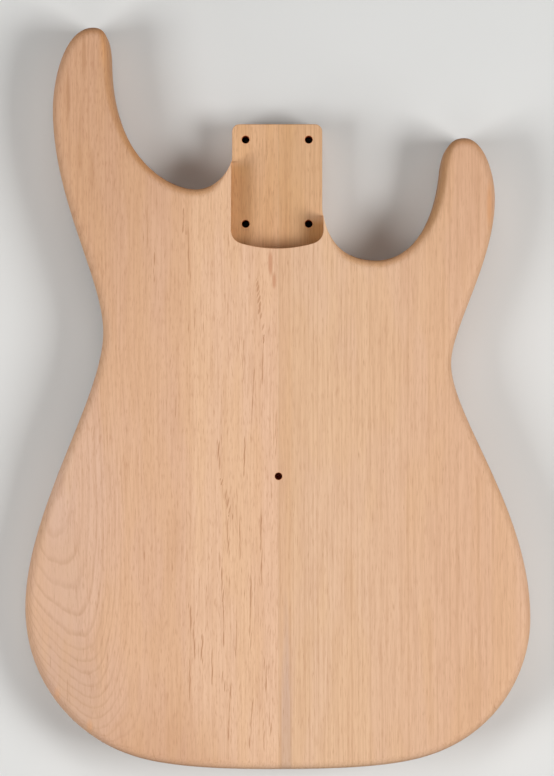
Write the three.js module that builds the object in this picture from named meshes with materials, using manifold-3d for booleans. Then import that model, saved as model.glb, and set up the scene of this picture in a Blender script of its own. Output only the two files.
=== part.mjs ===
// Bare two-piece solid body for a bolt-on-neck electric guitar.
//
// Two edge-glued alder boards are shaped together: the plan outline is sawn, both rims are
// rounded over, the front gets a forearm contour on the bass side and the back a belly contour,
// then the neck pocket is routed and the screw holes are drilled. Each board is its own solid,
// and so is the thin cured glue line between them.
//
// Millimetres. +X points to the treble side, +Y to the neck and +Z out of the front face.
// x = 0 is the middle of the width, y = 0 the middle of the length, z = 0 the back face.

import * as THREE from 'three';
import { mergeVertices, toCreasedNormals } from 'three/addons/utils/BufferGeometryUtils.js';
import Module from 'manifold-3d';

// Body, overall
const bodyLength = 445.3;
const lowerBoutWidth = 304.2;
const waistWidth = 209;
const bodyThickness = 44.45;

// Heel, the shelf that carries the neck. Its sides and its end are measured from the bottoms of
// the cutaways beside it.
const heelWidth = 54.4;
const heelCornerRadius = 4.5;
const heelReach = 39.8;
const trebleHeelRootRise = 34;
const bassHeelRootRise = 19.8;

// Neck pocket
const pocketDepth = 15.9;
const pocketLength = 75.5;
const pocketEndWidth = 55.5;
const pocketMouthWidth = 54.6;
const pocketCornerRadius = 7;
const pocketEndBow = 2.8;

// Neck screw holes, a standard four-screw pattern
const screwHoleDiameter = 4.7;
const screwRowSpacing = 50.8;
const screwColumnSpacing = 38.1;
const screwRowInset = 9.3;

// Locating hole on the glue joint
const locatorDiameter = 4.4;
const locatorDepth = 12.7;
const locatorHeight = 176;

// Glue joint between the two boards
const glueThickness = 0.2;
const jointOffset = 0.8;

// Rounded rims
const frontRimRadius = 6.35;
const backRimRadius = 6.35;
const rimRunOut = 14;

// Forearm contour on the front
const forearmReach = 45;
const forearmDepth = 12.4;
const forearmBlend = 12;
const forearmLean = THREE.MathUtils.degToRad(7.2);

// Belly contour on the back: a shallow dish round a point outside the bass waist
const bellyRadius = 100;
const bellyReach = 56;
const bellyDepth = 15.5;
const bellyBlend = 18;

// Fineness of the facets
const curveStep = 6.4;
const contourStep = 7.5;
const rimFacets = 4;
const holeFacets = 24;
const pocketFacets = 5;

// How far a cutting tool runs past the face that it cuts through
const overrun = 5;

// Angle above which two facets meet in a visible edge
const creaseAngle = THREE.MathUtils.degToRad(35);

// Smallest gap between two points of a sheet, as a share of the contour step
const clearanceShare = 0.62;

// Plan places of some turns of the outline, as shares of the body's length up from the tail
const bassBoutShare = 0.2156;
const bassWaistShare = 0.5895;
const trebleCutawayShare = 0.686;
const bassCutawayShare = 0.782;

// Plan places that the named sizes give, as shares of half the width or of the length
const heelShare = heelWidth / lowerBoutWidth;
const waistShare = waistWidth / lowerBoutWidth;
const jointShare = 2 * jointOffset / lowerBoutWidth;
const trebleRootShare = trebleCutawayShare + trebleHeelRootRise / bodyLength;
const bassRootShare = bassCutawayShare + bassHeelRootRise / bodyLength;

// Turns of the outline, clockwise from the root of the heel's treble side to that of its bass
// side: across as a share of half the width, along as a share of the length up from the tail.
// `heading` is the way the edge runs there, in degrees. `arrive` and `leave` are the lengths of
// the curve's handles before and beyond the turn, as shares of the straight distance from the
// last turn and to the next one.
const turnShares = [
  { across: heelShare, along: trebleRootShare, heading: -90, leave: 0.3 },
  { across: 0.392, along: trebleCutawayShare, heading: 0, arrive: 0.55, leave: 0.29 },
  { across: 0.646, along: 0.803, heading: 83.7, arrive: 0.52, leave: 0.31 },
  { across: 0.738, along: 0.851, heading: 0, arrive: 0.455, leave: 0.3 },
  { across: 0.86, along: 0.769, heading: -90, arrive: 0.35, leave: 0.367 },
  { across: waistShare, along: 0.547, heading: -90, arrive: 0.21, leave: 0.2 },
  { across: 1, along: 0.203, heading: -90, arrive: 0.407, leave: 0.293 },
  { across: 0.655, along: 0.0256, heading: -156.7, arrive: 0.427, leave: 0.2 },
  { across: jointShare, along: 0, heading: 180, arrive: 0.56, leave: 0.22 },
  { across: -0.575, along: 0.0186, heading: 161.1, arrive: 0.3, leave: 0.394 },
  { across: -1, along: bassBoutShare, heading: 90, arrive: 0.364, leave: 0.335 },
  { across: -waistShare, along: bassWaistShare, heading: 90, arrive: 0.233, leave: 0.234 },
  { across: -0.886, along: 0.889, heading: 90, arrive: 0.397, leave: 0.348 },
  { across: -0.726, along: 1, heading: 0, arrive: 0.311, leave: 0.33 },
  { across: -0.66, along: 0.95, heading: -88.5, arrive: 0.62, leave: 0.58 },
  { across: -0.321, along: bassCutawayShare, heading: 0, arrive: 0.208, leave: 0.387 },
  { across: -heelShare, along: bassRootShare, heading: 90, arrive: 0.32 },
];

// Places that follow from the sizes above
const halfWidth = lowerBoutWidth / 2;
const tail = -bodyLength / 2;
const bassBoutY = tail + bassBoutShare * bodyLength;
const bassWaistY = tail + bassWaistShare * bodyLength;
const heelEnd = tail + bassCutawayShare * bodyLength + heelReach;
const pocketEnd = heelEnd - pocketLength;
const pocketFloor = bodyThickness - pocketDepth;

const wasm = await Module();
wasm.setup();

// A point `length` away from a turn, along its heading
function alongHeading(turn, length) {
  const angle = THREE.MathUtils.degToRad(turn.heading);
  return new THREE.Vector2(
    turn.across * halfWidth + length * Math.cos(angle),
    tail + turn.along * bodyLength + length * Math.sin(angle),
  );
}

// Evenly spaced points of a curve, without its last one
function pointsAlong(curve) {
  const count = Math.max(2, Math.ceil(curve.getLength() / curveStep));
  return curve.getSpacedPoints(count).slice(0, -1);
}

// The sawn outline of the whole body as a closed, clockwise list of points. The heel's straight
// sides and end have no points but their ends.
function bodyOutline() {
  const points = [];
  turnShares.slice(0, -1).forEach((turn, index) => {
    const next = turnShares[index + 1];
    const start = alongHeading(turn, 0);
    const end = alongHeading(next, 0);
    const chord = start.distanceTo(end);
    const curve = new THREE.CubicBezierCurve(
      start,
      alongHeading(turn, turn.leave * chord),
      alongHeading(next, -next.arrive * chord),
      end,
    );
    points.push(...pointsAlong(curve));
  });
  const corner = heelWidth / 2 - heelCornerRadius;
  const cornerHeight = heelEnd - heelCornerRadius;
  const bassCorner = new THREE.EllipseCurve(
    -corner, cornerHeight, heelCornerRadius, heelCornerRadius, Math.PI, Math.PI / 2, true,
  );
  const trebleCorner = new THREE.EllipseCurve(
    corner, cornerHeight, heelCornerRadius, heelCornerRadius, Math.PI / 2, 0, true,
  );
  points.push(alongHeading(turnShares.at(-1), 0));
  points.push(...bassCorner.getPoints(rimFacets), ...trebleCorner.getPoints(rimFacets));
  return points;
}

// Depth of a contour at a distance beyond its break line: a round blend, then a straight slope
function contourDepth(beyond, reach, depth, blend) {
  const slope = depth / (reach - blend / 2);
  const blended = Math.min(Math.max(beyond, 0), blend);
  const straight = Math.max(beyond - blend, 0);
  return slope * (blended ** 2 / (2 * blend) + straight);
}

// Distance beyond the forearm contour's break line, which leans across the bass lower bout
function beyondForearmBreak(x, y) {
  const breakX = forearmReach - halfWidth;
  return (breakX - x) * Math.cos(forearmLean) + (bassBoutY - y) * Math.sin(forearmLean);
}

// Distance beyond the belly contour's break line, a circle round a point outside the waist
function beyondBellyBreak(x, y) {
  const centreX = bellyReach - waistWidth / 2 - bellyRadius;
  return bellyRadius - Math.hypot(x - centreX, y - bassWaistY);
}

// Height of the front face, and of the back face, over a plan point
function frontHeight(x, y) {
  return bodyThickness
    - contourDepth(beyondForearmBreak(x, y), forearmReach, forearmDepth, forearmBlend);
}

function backHeight(x, y) {
  return contourDepth(beyondBellyBreak(x, y), bellyReach, bellyDepth, bellyBlend);
}

// Share of the full rim radius: the rounding runs out to a sharp edge at the neck pocket
function rimShare(point) {
  const pastSide = Math.max(0, Math.abs(point.x) - pocketEndWidth / 2);
  const pastEnd = Math.max(0, pocketEnd - point.y);
  return Math.min(1, Math.hypot(pastSide, pastEnd) / rimRunOut);
}

// Unit normals of a closed clockwise outline, pointing into the body
function inwardNormals(outline) {
  return outline.map((point, index) => {
    const before = outline.at(index - 1);
    const after = outline[(index + 1) % outline.length];
    const along = after.clone().sub(before).normalize();
    return new THREE.Vector2(along.y, -along.x);
  });
}

// The rings of one rim, from the side wall to the flat: each ring steps in from the outline and
// out from the wall along a quarter circle. `faceHeight` gives the face, `side` is +1 or -1.
function rimRings(outline, radius, faceHeight, side) {
  const normals = inwardNormals(outline);
  const rings = [];
  for (let step = 0; step <= rimFacets; step += 1) {
    const angle = (step / rimFacets) * Math.PI / 2;
    rings.push(outline.map((point, index) => {
      const rim = radius * rimShare(point);
      const plan = point.clone().addScaledVector(normals[index], rim * (1 - Math.cos(angle)));
      const drop = rim * (1 - Math.sin(angle));
      return new THREE.Vector3(plan.x, plan.y, faceHeight(plan.x, plan.y) - side * drop);
    }));
  }
  return rings;
}

// True where a plan point lies inside a closed ring
function isInside(ring, x, y) {
  let inside = false;
  ring.forEach((a, index) => {
    const b = ring.at(index - 1);
    const straddles = (a.y > y) !== (b.y > y);
    if (straddles && x < a.x + (b.x - a.x) * (y - a.y) / (b.y - a.y)) {
      inside = !inside;
    }
  });
  return inside;
}

// Staggered points over the contoured part of a face, clear of the ring that bounds the face.
// Their rows and columns bow by one step, so that no three points lie in one line.
function contourPoints(ring, beyondBreak) {
  const points = [];
  const rowStep = contourStep * Math.sqrt(3) / 2;
  const clearance = contourStep * clearanceShare;
  const rows = Math.ceil(bodyLength / rowStep);
  const columns = Math.ceil(lowerBoutWidth / contourStep);
  for (let row = 0; row < rows; row += 1) {
    for (let column = 0; column < columns; column += 1) {
      const across = (column + (row % 2) / 2) * contourStep - halfWidth;
      const along = tail + row * rowStep;
      const x = across + contourStep * (along / tail) ** 2;
      const y = along + contourStep * (across / halfWidth) ** 2;
      const isCarved = beyondBreak(x, y) > -contourStep;
      const isClear = ring.every((edge) => Math.hypot(edge.x - x, edge.y - y) > clearance);
      if (isCarved && isClear && isInside(ring, x, y)) {
        points.push(new THREE.Vector2(x, y));
      }
    }
  }
  return points;
}

// Twice the area of triangle abc, positive when it turns anticlockwise
function turnOf(a, b, c) {
  return (b.x - a.x) * (c.y - a.y) - (b.y - a.y) * (c.x - a.x);
}

// True where d lies inside the circle through a, b and c
function isInCircle(a, b, c, d) {
  const rows = [a, b, c].map((p) => [p.x - d.x, p.y - d.y, (p.x - d.x) ** 2 + (p.y - d.y) ** 2]);
  const [p, q, r] = rows;
  const determinant = p[0] * (q[1] * r[2] - q[2] * r[1])
    - p[1] * (q[0] * r[2] - q[2] * r[0])
    + p[2] * (q[0] * r[1] - q[1] * r[0]);
  return determinant * Math.sign(turnOf(a, b, c)) > Number.EPSILON * bodyLength ** 4;
}

// Swaps the diagonals of neighbouring triangles until none is better drawn the other way
function swapDiagonals(points, faces) {
  let swapped = true;
  while (swapped) {
    swapped = false;
    const owners = new Map();
    faces.forEach((face, index) => face.forEach((from, corner) => {
      owners.set(`${from}_${face[(corner + 1) % 3]}`, index);
    }));
    const touched = new Set();
    faces.forEach((face, index) => face.forEach((a, corner) => {
      const b = face[(corner + 1) % 3];
      const c = face[(corner + 2) % 3];
      const other = owners.get(`${b}_${a}`);
      if (other === undefined || touched.has(index) || touched.has(other)) {
        return;
      }
      const d = faces[other].find((vertex) => vertex !== a && vertex !== b);
      if (isInCircle(points[a], points[b], points[c], points[d])) {
        faces[index] = [c, a, d];
        faces[other] = [d, b, c];
        touched.add(index).add(other);
        swapped = true;
      }
    }));
  }
  return faces;
}

// Triangles of one face of the body, front or back: the bounding ring and the contour points
function faceSheet(ring, faceHeight, beyondBreak) {
  const border = ring.map((point) => new THREE.Vector2(point.x, point.y));
  const inner = contourPoints(border, beyondBreak);
  const plan = [...border, ...inner];
  const faces = THREE.ShapeUtils.triangulateShape(border, inner.map((point) => [point]));
  const raised = inner.map(({ x, y }) => new THREE.Vector3(x, y, faceHeight(x, y)));
  return { points: [...ring, ...raised], faces: swapDiagonals(plan, faces) };
}

// A closed solid from a list of triangles, each three points
function solidFromTriangles(triangles) {
  const geometry = new THREE.BufferGeometry().setFromPoints(triangles.flat());
  return solidFromGeometry(geometry);
}

// A closed solid from any geometry, with its shared vertices merged and flat triangles left out
function solidFromGeometry(source) {
  const bare = source.index ? source.toNonIndexed() : source.clone();
  bare.deleteAttribute('normal');
  bare.deleteAttribute('uv');
  const merged = mergeVertices(bare);
  const index = merged.index.array;
  const kept = [];
  for (let first = 0; first < index.length; first += 3) {
    const [a, b, c] = index.slice(first, first + 3);
    if (a !== b && b !== c && c !== a) {
      kept.push(a, b, c);
    }
  }
  return new wasm.Manifold(new wasm.Mesh({
    numProp: 3,
    vertProperties: Float32Array.from(merged.attributes.position.array),
    triVerts: Uint32Array.from(kept),
  }));
}

// Both triangles of each four-sided patch between two rings of equal length
function bandBetween(lower, upper) {
  return lower.flatMap((a, index) => {
    const next = (index + 1) % lower.length;
    const b = lower[next];
    const c = upper[next];
    const d = upper[index];
    return [[a, c, b], [a, d, c]];
  });
}

// The shaped body before it is routed and drilled, both boards in one
function shapedBlank() {
  const outline = bodyOutline();
  const frontRings = rimRings(outline, frontRimRadius, frontHeight, 1);
  const backRings = rimRings(outline, backRimRadius, backHeight, -1);
  const front = faceSheet(frontRings.at(-1), frontHeight, beyondForearmBreak);
  const back = faceSheet(backRings.at(-1), backHeight, beyondBellyBreak);
  const triangles = bandBetween(backRings[0], frontRings[0]);
  for (let step = 0; step < rimFacets; step += 1) {
    triangles.push(...bandBetween(frontRings[step], frontRings[step + 1]));
    triangles.push(...bandBetween(backRings[step + 1], backRings[step]));
  }
  front.faces.forEach(([a, b, c]) => {
    triangles.push([front.points[a], front.points[b], front.points[c]]);
  });
  back.faces.forEach(([a, b, c]) => {
    triangles.push([back.points[a], back.points[c], back.points[b]]);
  });
  return solidFromTriangles(triangles);
}

// The router's sweep for the neck pocket: straight tapered sides, round corners, bowed end
function pocketCutter() {
  const endHalf = pocketEndWidth / 2;
  const straightHalf = endHalf - pocketCornerRadius;
  const bowStart = pocketEnd + pocketEndBow;
  const cornerStart = bowStart + pocketCornerRadius * 2 * pocketEndBow / straightHalf;
  const sideStart = cornerStart + pocketCornerRadius;
  const shape = new THREE.Shape();
  shape.moveTo(-pocketMouthWidth / 2, heelEnd + overrun);
  shape.lineTo(-endHalf, sideStart);
  shape.quadraticCurveTo(-endHalf, cornerStart, -straightHalf, bowStart);
  shape.quadraticCurveTo(0, pocketEnd - pocketEndBow, straightHalf, bowStart);
  shape.quadraticCurveTo(endHalf, cornerStart, endHalf, sideStart);
  shape.lineTo(pocketMouthWidth / 2, heelEnd + overrun);
  const geometry = new THREE.ExtrudeGeometry(shape, {
    depth: pocketDepth + overrun,
    curveSegments: pocketFacets,
    bevelEnabled: false,
  });
  geometry.translate(0, 0, pocketFloor);
  return solidFromGeometry(geometry);
}

// A drill of one diameter that enters at `top` and ends at `bottom`
function drill(x, y, diameter, bottom, top) {
  const geometry = new THREE.CylinderGeometry(diameter / 2, diameter / 2, top - bottom, holeFacets);
  geometry.rotateX(Math.PI / 2);
  geometry.translate(x, y, (bottom + top) / 2);
  return solidFromGeometry(geometry);
}

// The four neck screw holes, right through the heel
function screwDrills() {
  const firstRow = heelEnd - screwRowInset;
  return [0, 1].flatMap((row) => [-1, 1].map((side) => drill(
    side * screwColumnSpacing / 2,
    firstRow - row * screwRowSpacing,
    screwHoleDiameter,
    -overrun,
    pocketFloor + overrun,
  )));
}

// A block that holds everything between two planes across the width
function sliceBetween(left, right) {
  const geometry = new THREE.BoxGeometry(
    right - left,
    bodyLength + 2 * overrun,
    bodyThickness + 2 * overrun,
  );
  geometry.translate((left + right) / 2, 0, bodyThickness / 2);
  return solidFromGeometry(geometry);
}

// A named mesh with its own finish
function piece(name, solid, colour, roughness) {
  const { vertProperties, triVerts } = solid.getMesh();
  const geometry = new THREE.BufferGeometry();
  geometry.setAttribute('position', new THREE.BufferAttribute(Float32Array.from(vertProperties), 3));
  geometry.setIndex(Array.from(triVerts));
  const creased = toCreasedNormals(geometry, creaseAngle);
  const material = new THREE.MeshStandardMaterial({ color: colour, roughness, metalness: 0 });
  const mesh = new THREE.Mesh(creased, material);
  mesh.name = name;
  return mesh;
}

function buildBody() {
  const locator = drill(
    jointOffset,
    tail + locatorHeight,
    locatorDiameter,
    bodyThickness - locatorDepth,
    bodyThickness + overrun,
  );
  const worked = [pocketCutter(), locator, ...screwDrills()].reduce(
    (body, cutter) => body.subtract(cutter),
    shapedBlank(),
  );
  const outside = halfWidth + overrun;
  const film = sliceBetween(jointOffset - glueThickness / 2, jointOffset + glueThickness / 2);
  const boards = worked.subtract(film);
  const bassBoard = boards.intersect(sliceBetween(-outside, jointOffset));
  const trebleBoard = boards.intersect(sliceBetween(jointOffset, outside));
  const body = new THREE.Group();
  body.add(
    piece('bass_side_board', bassBoard, '#dbb294', 0.62),
    piece('treble_side_board', trebleBoard, '#deb693', 0.62),
    piece('centre_glue_line', worked.intersect(film), '#c39a72', 0.5),
  );
  return body;
}

export default buildBody();
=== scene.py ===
# Bare solid alder body for a bolt-on-neck electric guitar, lying on its back on a pale floor.
# Metres. +X is the treble side, +Y the neck end, +Z comes out of the front face.

import bmesh
import bpy
import numpy as np
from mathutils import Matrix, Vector
from mathutils.geometry import delaunay_2d_cdt


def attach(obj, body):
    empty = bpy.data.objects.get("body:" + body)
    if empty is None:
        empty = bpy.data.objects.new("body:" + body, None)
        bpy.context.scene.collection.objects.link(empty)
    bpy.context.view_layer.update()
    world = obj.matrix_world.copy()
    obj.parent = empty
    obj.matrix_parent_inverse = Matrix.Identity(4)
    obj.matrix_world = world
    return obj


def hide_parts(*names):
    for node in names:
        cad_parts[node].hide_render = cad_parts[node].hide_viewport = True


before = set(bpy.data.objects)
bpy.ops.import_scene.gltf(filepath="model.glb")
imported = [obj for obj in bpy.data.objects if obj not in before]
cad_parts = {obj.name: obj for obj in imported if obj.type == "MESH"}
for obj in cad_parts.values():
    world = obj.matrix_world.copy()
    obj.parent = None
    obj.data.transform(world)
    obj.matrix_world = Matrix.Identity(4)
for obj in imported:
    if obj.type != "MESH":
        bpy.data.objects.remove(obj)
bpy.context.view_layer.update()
millimetre = 0.001


# Shape of the body, in millimetres
bodyPlan = {
    "length": 445.3,
    "lowerBout": 304.2,
    "waist": 209,
    "thickness": 44.45,
    "heelWidth": 54.4,
    "heelCorner": 4.5,
    "heelReach": 39.8,
    "trebleHeelRise": 34,
    "bassHeelRise": 19.8,
    # spacing of the points along the outline, the heel and the pocket, and over the faces
    "step": 1.1, "heelStep": 0.55, "pocketStep": 0.66, "sheetStep": 3.2,
}

rims = {
    "radius": 6.35,
    "runOut": 14,           # how far from the pocket the rounding reaches its full radius
    "ease": 0.4,            # what the sanding block takes off an edge that isn't rounded
    "easeFade": 12,
    "rows": 11,
    "easeRows": 4,
    "landing": 0.4, "landingShare": 0.8,    # how far in on the face the last row lies, at most
}

contours = {
    "forearmReach": 45, "forearmDepth": 12.4, "forearmBlend": 12, "forearmLean": 7.2,
    "bellyRadius": 100, "bellyReach": 56, "bellyDepth": 15.5, "bellyBlend": 18,
}

neckPocket = {
    "depth": 15.9,
    "length": 75.5,
    "endWidth": 55.5,
    "mouthWidth": 54.6,
    "corner": 7,
    "endBow": 2.8,
    "overrun": 5,           # how far past the heel the wall's line is drawn
}

holes = {
    "screwDiameter": 4.7, "rowSpacing": 50.8, "columnSpacing": 38.1, "rowInset": 9.3,
    "locatorDiameter": 4.4, "locatorDepth": 12.7, "locatorHeight": 176,
    "ease": 0.18, "collar": 0.72, "facets": 48, "easeSteps": 4,
}

glueJoint = {"thickness": 0.2, "offset": 0.8}

# How finely the mesh is built: points of each outline curve, pocket curve and heel corner,
# rows up the lower and the upper wall, how far below the front's rounding the two walls may
# meet, how near to an edge a face's own points come as a share of their spacing, distances in
# metres that count as none, and the angle in degrees that shows as an edge
meshing = {
    "curveSteps": 600, "wallSteps": 200, "cornerSteps": 40, "lowerRows": 3, "upperRows": 2,
    "belowRounding": 1, "clear": 0.5, "weld": 2e-7, "cut": 1e-8, "sharpFrom": 32,
}

halfWidth = bodyPlan["lowerBout"] / 2
outside = 2 * halfWidth
tail = -bodyPlan["length"] / 2
bassBoutShare, bassWaistShare, trebleCutawayShare, bassCutawayShare = 0.2156, 0.5895, 0.686, 0.782
heelEnd = tail + bassCutawayShare * bodyPlan["length"] + bodyPlan["heelReach"]
pocketEnd = heelEnd - neckPocket["length"]
pocketFloor = bodyPlan["thickness"] - neckPocket["depth"]

# Turns of the outline, clockwise from the heel's treble side: across as a share of half the
# width, along as a share of the length, heading in degrees, then the curve's handles before
# and after the turn as shares of the distance to the neighbouring turn.
heelShare = bodyPlan["heelWidth"] / bodyPlan["lowerBout"]
waistShare = bodyPlan["waist"] / bodyPlan["lowerBout"]
trebleRiseShare = bodyPlan["trebleHeelRise"] / bodyPlan["length"]
bassRiseShare = bodyPlan["bassHeelRise"] / bodyPlan["length"]
turnShares = np.array([
    (heelShare, trebleCutawayShare + trebleRiseShare, -90, 0, 0.3),
    (0.392, trebleCutawayShare, 0, 0.55, 0.29),
    (0.646, 0.803, 83.7, 0.52, 0.31),
    (0.738, 0.851, 0, 0.455, 0.3),
    (0.86, 0.769, -90, 0.35, 0.367),
    (waistShare, 0.547, -90, 0.21, 0.2),
    (1, 0.203, -90, 0.407, 0.293),
    (0.655, 0.0256, -156.7, 0.427, 0.2),
    (2 * glueJoint["offset"] / bodyPlan["lowerBout"], 0, 180, 0.56, 0.22),
    (-0.575, 0.0186, 161.1, 0.3, 0.394),
    (-1, bassBoutShare, 90, 0.364, 0.335),
    (-waistShare, bassWaistShare, 90, 0.233, 0.234),
    (-0.886, 0.889, 90, 0.397, 0.348),
    (-0.726, 1, 0, 0.311, 0.33),
    (-0.66, 0.95, -88.5, 0.62, 0.58),
    (-0.321, bassCutawayShare, 0, 0.208, 0.387),
    (-heelShare, bassCutawayShare + bassRiseShare, 90, 0.32, 0),
])


# A cubic curve between two points: (1-t)^3 start + 3t(1-t)^2 handle + 3t^2(1-t) handle + t^3 end.
# All the curves are worked out at once, and their points follow each other in one list.
def sawnCurves():
    along = tail + turnShares[:, 1] * bodyPlan["length"]
    place = np.stack([turnShares[:, 0] * halfWidth, along], 1)
    angle = np.radians(turnShares[:, 2])
    ahead = np.stack([np.cos(angle), np.sin(angle)], 1)
    chord = np.linalg.norm(place[1:] - place[:-1], axis=1)[:, None]
    leaving = place[:-1] + ahead[:-1] * turnShares[:-1, 4:5] * chord
    arriving = place[1:] - ahead[1:] * turnShares[1:, 3:4] * chord
    t = np.linspace(0, 1, meshing["curveSteps"], endpoint=False)[None, :, None]
    corners = [p[:, None, :] for p in (place[:-1], leaving, arriving, place[1:])]
    points = ((1 - t) ** 3 * corners[0] + 3 * t * (1 - t) ** 2 * corners[1]
              + 3 * t * t * (1 - t) * corners[2] + t ** 3 * corners[3])
    return np.concatenate([points.reshape(-1, 2), place[-1:]])


# The same path with points at even steps: each one is read between its neighbours by the
# length run so far.
def evenSteps(path, step):
    run = np.concatenate([[0], np.cumsum(np.linalg.norm(np.diff(path, axis=0), axis=1))])
    wanted = np.linspace(0, run[-1], int(np.ceil(run[-1] / step)) + 1)
    return np.stack([np.interp(wanted, run, path[:, axis]) for axis in (0, 1)], 1)


# Half of the pocket's wall, on the side given by -1 or +1, from the mouth to the middle of its
# end: a straight tapered side, a round corner and a bowed end, both as quadratic curves
# (1-t)^2 start + 2t(1-t) handle + t^2 end.
def pocketHalf(side):
    endHalf = neckPocket["endWidth"] / 2
    straightHalf = endHalf - neckPocket["corner"]
    bowStart = pocketEnd + neckPocket["endBow"]
    cornerStart = bowStart + neckPocket["corner"] * 2 * neckPocket["endBow"] / straightHalf
    sideStart = cornerStart + neckPocket["corner"]
    bowHandle = pocketEnd - neckPocket["endBow"]
    mouth = np.array([neckPocket["mouthWidth"] / 2, heelEnd + neckPocket["overrun"]])
    steps = meshing["wallSteps"]
    t = np.linspace(0, 1, steps + 1)[:, None]
    straight = mouth + t * (np.array([endHalf, sideStart]) - mouth)
    corner = ((1 - t) ** 2 * [endHalf, sideStart] + 2 * t * (1 - t) * [endHalf, cornerStart]
              + t * t * [straightHalf, bowStart])
    bow = ((1 - t) ** 2 * [straightHalf, bowStart] + 2 * t * (1 - t) * [0, bowHandle]
           + t * t * [-straightHalf, bowStart])
    path = np.concatenate([straight, corner[1:], bow[1:steps // 2 + 1]])
    return path * [side, 1]


# Where the outline meets the pocket's wall: the outline's first point from that end whose
# distance from the middle reaches the wall's.
def meetingPoint(outline, wall):
    wallX = np.interp(outline[:, 1], wall[::-1, 1], np.abs(wall[::-1, 0]))
    past = (np.abs(outline[:, 0]) - wallX) > 0
    first = int(np.argmax(past))
    gap = (np.abs(outline[:, 0]) - wallX)[first - 1:first + 1]
    share = -gap[0] / (gap[1] - gap[0])
    return first, outline[first - 1] + share * (outline[first] - outline[first - 1])


# The three paths that the body hangs on, clockwise: the sawn edge outside the heel, the heel's
# own edge, and the pocket's wall. Each runs from one meeting point to the other.
def bodyPaths():
    sawn = sawnCurves()
    trebleWall, bassWall = pocketHalf(1), pocketHalf(-1)
    straight = meshing["wallSteps"] + 1
    fromTreble, trebleMeet = meetingPoint(sawn, trebleWall[:straight])
    fromBass, bassMeet = meetingPoint(sawn[::-1], bassWall[:straight])
    last = len(sawn) - fromBass
    edge = np.concatenate([[trebleMeet], sawn[fromTreble:last], [bassMeet]])
    edge = evenSteps(edge, bodyPlan["step"])
    radius = bodyPlan["heelCorner"]
    corner = bodyPlan["heelWidth"] / 2 - radius
    angle = np.radians(np.linspace(180, 90, meshing["cornerSteps"]))
    arc = np.stack([np.cos(angle), np.sin(angle)], 1) * radius
    bassCorner = arc + [-corner, heelEnd - radius]
    heel = np.concatenate([
        [bassMeet], sawn[last:], bassCorner, bassCorner[::-1] * [-1, 1], sawn[:fromTreble],
        [trebleMeet],
    ])
    heel = evenSteps(heel, bodyPlan["heelStep"])
    below = bassWall[bassWall[:, 1] < bassMeet[1]]
    above = trebleWall[trebleWall[:, 1] < trebleMeet[1]]
    wall = np.concatenate([[bassMeet], below, above[::-1][1:], [trebleMeet]])
    wall = evenSteps(wall, bodyPlan["pocketStep"])
    return edge, heel, wall


# Depth of a contour beyond its break line: a parabola over the blend, then a straight slope
def contourDepth(beyond, reach, depth, blend):
    slope = depth / (reach - blend / 2)
    blended = np.clip(beyond, 0, blend)
    return slope * (blended ** 2 / (2 * blend) + np.maximum(beyond - blend, 0))


# The front falls away beyond a leaning straight line, the back beyond a circle round a point
# outside the waist.
def frontHeight(plan):
    lean = np.radians(contours["forearmLean"])
    breakX = contours["forearmReach"] - halfWidth
    breakY = tail + bassBoutShare * bodyPlan["length"]
    beyond = (breakX - plan[..., 0]) * np.cos(lean) + (breakY - plan[..., 1]) * np.sin(lean)
    return bodyPlan["thickness"] - contourDepth(
        beyond, contours["forearmReach"], contours["forearmDepth"], contours["forearmBlend"])


def backHeight(plan):
    centreX = contours["bellyReach"] - bodyPlan["waist"] / 2 - contours["bellyRadius"]
    centreY = tail + bassWaistShare * bodyPlan["length"]
    beyond = contours["bellyRadius"] - np.hypot(plan[..., 0] - centreX, plan[..., 1] - centreY)
    return contourDepth(
        beyond, contours["bellyReach"], contours["bellyDepth"], contours["bellyBlend"])


def floorHeight(plan):
    return np.full(plan.shape[:-1], pocketFloor)


# Smooth step of 0 to 1: 3t^2 - 2t^3
def smoothStep(t):
    t = np.clip(t, 0, 1)
    return t * t * (3 - 2 * t)


# Radius of the rounding along a path: it runs out towards the neck pocket, to the sanded ease
def rimRadius(path):
    pastSide = np.maximum(0, np.abs(path[:, 0]) - neckPocket["endWidth"] / 2)
    pastEnd = np.maximum(0, pocketEnd - path[:, 1])
    return rims["radius"] * smoothStep(np.hypot(pastSide, pastEnd) / rims["runOut"])


# The ease of a path between the two meeting points, fading out to nothing at both ends
def easeRadius(path):
    run = np.concatenate([[0], np.cumsum(np.linalg.norm(np.diff(path, axis=0), axis=1))])
    return rims["ease"] * smoothStep(np.minimum(run, run[-1] - run) / rims["easeFade"])


# Into the wood: a quarter turn to the right of the way that a clockwise path runs
def inward(path):
    ahead = np.gradient(path, axis=0)
    ahead /= np.linalg.norm(ahead, axis=1)[:, None]
    return np.stack([ahead[:, 1], -ahead[:, 0]], 1)


# A rounded edge carried along a path, as rows from the wall to the face: at angle a of a quarter
# circle a row lies r(1 - cos a) in from the path and r(1 - sin a) off the face. The last row is
# on the face, a little further in. side is 1 where the face looks up.
def roundedRows(path, normal, radius, heightOf, side, count):
    angle = np.linspace(0, np.pi / 2, count + 1)[:, None, None]
    reach = radius[None, :, None]
    plan = path + normal * reach * (1 - np.cos(angle))
    height = heightOf(plan) - side * (reach * (1 - np.sin(angle)))[..., 0]
    rows = np.concatenate([plan, height[..., None]], 2)
    landing = np.minimum(radius * rims["landingShare"], rims["landing"])
    further = path + normal * (radius + landing)[:, None]
    return np.concatenate([rows, np.concatenate([further, heightOf(further)[:, None]], 1)[None]])


# Straight rows between two rows of points
def rowsBetween(lower, upper, count):
    t = np.linspace(0, 1, count + 2)[1:-1, None, None]
    return lower + t * (upper - lower)


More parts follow.
